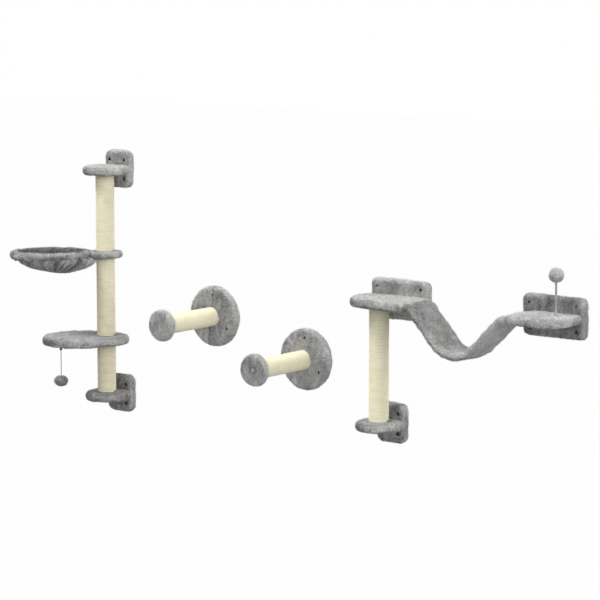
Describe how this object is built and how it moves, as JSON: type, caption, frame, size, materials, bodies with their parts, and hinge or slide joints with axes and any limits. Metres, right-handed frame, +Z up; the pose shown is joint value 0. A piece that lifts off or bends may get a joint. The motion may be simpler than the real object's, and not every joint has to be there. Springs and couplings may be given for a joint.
{
  "type": "cat climbing wall",
  "caption": "Wall-mounted cat climbing set: a sisal tower with a hoop basket and a platform, sisal peg steps, and a bridge of plush shelves with a hanging cloth and toys.",
  "frame": {"origin": "middle of the four screw holes of the tower's lower wall plate, on the wall plane", "axes": "+X right along the wall, +Y into the wall, +Z up"},
  "size_m": [2.3542, 0.379, 0.984],
  "materials": {
    "plush": "short grey plush, brushed in patches",
    "toy_plush": "dense grey plush",
    "sisal": "pale wound sisal rope",
    "cardboard": "plain cardboard tube",
    "particleboard": "raw particleboard",
    "plug_wood": "turned wood",
    "steel": "zinc-plated steel",
    "black_plastic": "black plastic",
    "string": "dark elastic string"
  },
  "bodies": {
    "wall_set": {"bridge_hammock": "plush", "bridge_left_plate_board": "particleboard", "bridge_left_plate_cover": "plush", "bridge_left_shelf_board": "particleboard", "bridge_left_shelf_cover": "plush", "bridge_low_plate_board": "particleboard", "bridge_low_plate_cover": "plush", "bridge_low_shelf_board": "particleboard", "bridge_low_shelf_cover": "plush", "bridge_right_plate_board": "particleboard", "bridge_right_plate_cover": "plush", "bridge_right_shelf_board": "particleboard", "bridge_right_shelf_cover": "plush", "bridge_sisal": "sisal", "bridge_tube": "cardboard", "post_bolts": "steel", "post_plugs": "plug_wood", "post_studs": "steel", "shelf_screws": "steel", "step_one_cap_board": "particleboard", "step_one_cap_cover": "plush", "step_one_plate_board": "particleboard", "step_one_plate_cover": "plush", "step_one_sisal": "sisal", "step_one_tube": "cardboard", "step_two_cap_board": "particleboard", "step_two_cap_cover": "plush", "step_two_plate_board": "particleboard", "step_two_plate_cover": "plush", "step_two_sisal": "sisal", "step_two_tube": "cardboard", "tower_low_plate_board": "particleboard", "tower_low_plate_cover": "plush", "tower_low_shelf_board": "particleboard", "tower_low_shelf_cover": "plush", "tower_lower_sisal": "sisal", "tower_lower_tube": "cardboard", "tower_middle_sisal": "sisal", "tower_middle_tube": "cardboard", "tower_top_plate_board": "particleboard", "tower_top_plate_cover": "plush", "tower_top_shelf_board": "particleboard", "tower_top_shelf_cover": "plush", "tower_upper_sisal": "sisal", "tower_upper_tube": "cardboard"},
    "basket": {"basket_collar_board": "particleboard", "basket_collar_cover": "plush", "basket_hoop": "steel", "basket_bag": "plush"},
    "platform": {"platform_board": "particleboard", "platform_cover": "plush", "pendant_eye": "steel"},
    "pendant_link": {"pendant_knob": "black_plastic"},
    "pendant": {"pendant_string": "string", "pendant_ball": "toy_plush"},
    "toy_link": {"toy_foot": "steel"},
    "toy": {"toy_wire": "steel", "toy_sleeve": "toy_plush", "toy_ball": "toy_plush"}
  },
  "joints": [
    {"name": "basket_swivel", "type": "hinge", "parent": "wall_set", "child": "basket", "pos_m": [0, -0.099, 0.532], "axis": [0, 0, 1], "range_deg": [-10, 110]},
    {"name": "platform_swivel", "type": "hinge", "parent": "wall_set", "child": "platform", "pos_m": [0, -0.099, 0.212], "axis": [0, 0, 1], "range_deg": [-14, 106]},
    {"name": "pendant_swing_side", "type": "hinge", "parent": "platform", "child": "pendant_link", "pos_m": [-0.06463, -0.2768, 0.1902], "axis": [0, 1, 0], "range_deg": [-40, 40]},
    {"name": "pendant_swing_front", "type": "hinge", "parent": "pendant_link", "child": "pendant", "pos_m": [-0.06463, -0.2768, 0.1902], "axis": [1, 0, 0], "range_deg": [-40, 40]},
    {"name": "toy_bend_side", "type": "hinge", "parent": "wall_set", "child": "toy_link", "pos_m": [1.977, -0.092, 0.4828], "axis": [0, 1, 0], "range_deg": [-35, 35], "stiffness_Nm_per_rad": 0.15},
    {"name": "toy_bend_front", "type": "hinge", "parent": "toy_link", "child": "toy", "pos_m": [1.977, -0.092, 0.4828], "axis": [1, 0, 0], "range_deg": [-25, 35], "stiffness_Nm_per_rad": 0.15}
  ]
}
